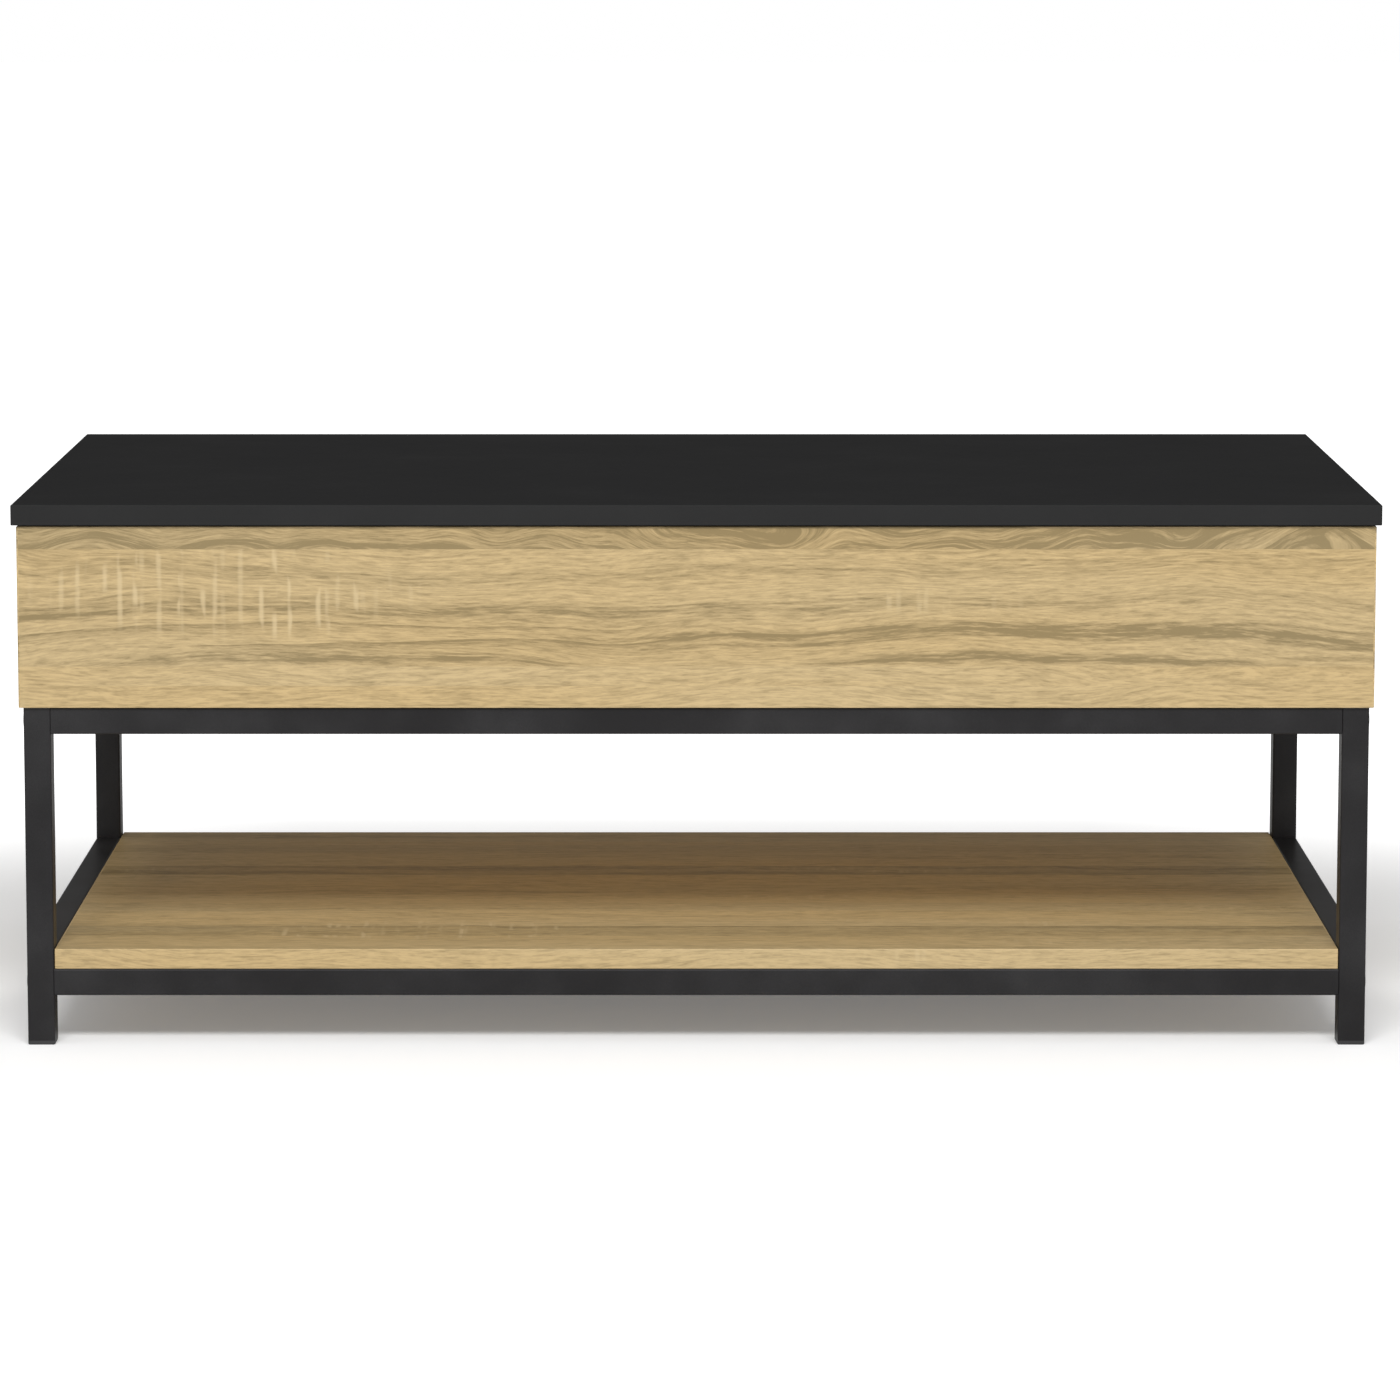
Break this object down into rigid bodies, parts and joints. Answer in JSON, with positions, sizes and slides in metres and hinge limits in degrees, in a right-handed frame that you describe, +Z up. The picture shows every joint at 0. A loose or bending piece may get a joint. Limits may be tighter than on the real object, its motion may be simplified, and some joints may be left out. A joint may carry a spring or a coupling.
{
  "type": "lift top coffee table",
  "caption": "Low coffee table on a square steel tube frame, with a lower shelf and a top that lifts up and forward on spring-assisted arms over a storage box.",
  "frame": {"origin": "on the floor, under the middle of the table", "axes": "+X to the right along the length, +Y to the back, +Z up; the front faces -Y"},
  "size_m": [1, 0.5, 0.402],
  "materials": {
    "oak_decor": "light sonoma oak decor paper on particle board, satin",
    "black_laminate": "matt black laminate on particle board",
    "powder_coat": "satin black powder coat",
    "lift_steel": "black electrophoretic coat",
    "zinc_steel": "bright zinc plate",
    "black_bolts": "black oxide",
    "cast_zinc": "die-cast zinc",
    "spring_steel": "bright drawn wire",
    "plastic": "moulded black",
    "rubber": "matt",
    "felt": "pressed felt",
    "beech": "fluted beech"
  },
  "bodies": {
    "base": {"bolt_caps": "plastic", "bottom_panel": "oak_decor", "box_fixing_screws": "zinc_steel", "box_mounting_tabs": "powder_coat", "bracket_screws": "zinc_steel", "cam_bolts": "zinc_steel", "cam_housings": "cast_zinc", "frame_bolts": "black_bolts", "front_left_leg": "powder_coat", "front_panel": "oak_decor", "front_right_leg": "powder_coat", "left_base_bracket": "lift_steel", "left_base_rivets": "zinc_steel", "left_base_washers": "zinc_steel", "left_panel": "oak_decor", "leg_glides": "plastic", "lower_front_rail": "powder_coat", "lower_left_rail": "powder_coat", "lower_rear_rail": "powder_coat", "lower_right_rail": "powder_coat", "lower_shelf": "oak_decor", "rail_nut_plates": "zinc_steel", "rear_left_leg": "powder_coat", "rear_panel": "oak_decor", "rear_right_leg": "powder_coat", "right_base_bracket": "lift_steel", "right_base_rivets": "zinc_steel", "right_base_washers": "zinc_steel", "right_panel": "oak_decor", "shelf_screws": "zinc_steel", "spring_posts": "zinc_steel", "stop_pins": "rubber", "upper_front_rail": "powder_coat", "upper_left_rail": "powder_coat", "upper_rear_rail": "powder_coat", "upper_right_rail": "powder_coat", "wood_dowels": "beech"},
    "top": {"lift_top": "black_laminate", "left_top_bracket": "lift_steel", "right_top_bracket": "lift_steel", "left_top_rivets": "zinc_steel", "right_top_rivets": "zinc_steel", "left_top_washers": "zinc_steel", "right_top_washers": "zinc_steel", "top_bracket_screws": "zinc_steel", "bumper_pads": "felt"},
    "left_front_arm": {"left_front_arm": "lift_steel", "left_lever_pin": "zinc_steel"},
    "right_front_arm": {"right_front_arm": "lift_steel", "right_lever_pin": "zinc_steel"},
    "left_rear_arm": {"left_rear_arm": "lift_steel"},
    "right_rear_arm": {"right_rear_arm": "lift_steel"},
    "left_spring": {"left_spring": "spring_steel"},
    "right_spring": {"right_spring": "spring_steel"}
  },
  "joints": [
    {"name": "lift", "type": "hinge", "parent": "base", "child": "left_front_arm", "pos_m": [-0.4764, -0.10015, 0.34086], "axis": [1, 0, 0], "range_deg": [0, 110], "stiffness_Nm_per_rad": 3.5, "springref_deg": 110.01},
    {"name": "left_rear_arm_swing", "type": "hinge", "parent": "base", "child": "left_rear_arm", "pos_m": [-0.4764, 0.00985, 0.32686], "axis": [1, 0, 0], "range_deg": [0, 110]},
    {"name": "right_front_arm_swing", "type": "hinge", "parent": "base", "child": "right_front_arm", "pos_m": [0.4764, -0.10015, 0.34086], "axis": [1, 0, 0], "range_deg": [0, 110]},
    {"name": "right_rear_arm_swing", "type": "hinge", "parent": "base", "child": "right_rear_arm", "pos_m": [0.4764, 0.00985, 0.32686], "axis": [1, 0, 0], "range_deg": [0, 110]},
    {"name": "top_level", "type": "hinge", "parent": "left_front_arm", "child": "top", "pos_m": [-0.4764, 0.098, 0.368], "axis": [1, 0, 0], "range_deg": [-110, 0]},
    {"name": "left_spring_swing", "type": "hinge", "parent": "base", "child": "left_spring", "pos_m": [-0.464, 0.05985, 0.292], "axis": [1, 0, 0], "range_deg": [-9.56, 0], "deforming": ["left_spring"]},
    {"name": "right_spring_swing", "type": "hinge", "parent": "base", "child": "right_spring", "pos_m": [0.464, 0.05985, 0.292], "axis": [1, 0, 0], "range_deg": [-9.56, 0], "deforming": ["right_spring"]}
  ],
  "couplings": [
    {"joint": "left_rear_arm_swing", "follows": "lift", "ratio": 1},
    {"joint": "right_front_arm_swing", "follows": "lift", "ratio": 1},
    {"joint": "right_rear_arm_swing", "follows": "lift", "ratio": 1},
    {"joint": "top_level", "follows": "lift", "ratio": -1},
    {"joint": "left_spring_swing", "follows": "lift", "ratio": -0.086831},
    {"joint": "right_spring_swing", "follows": "lift", "ratio": -0.086831}
  ]
}
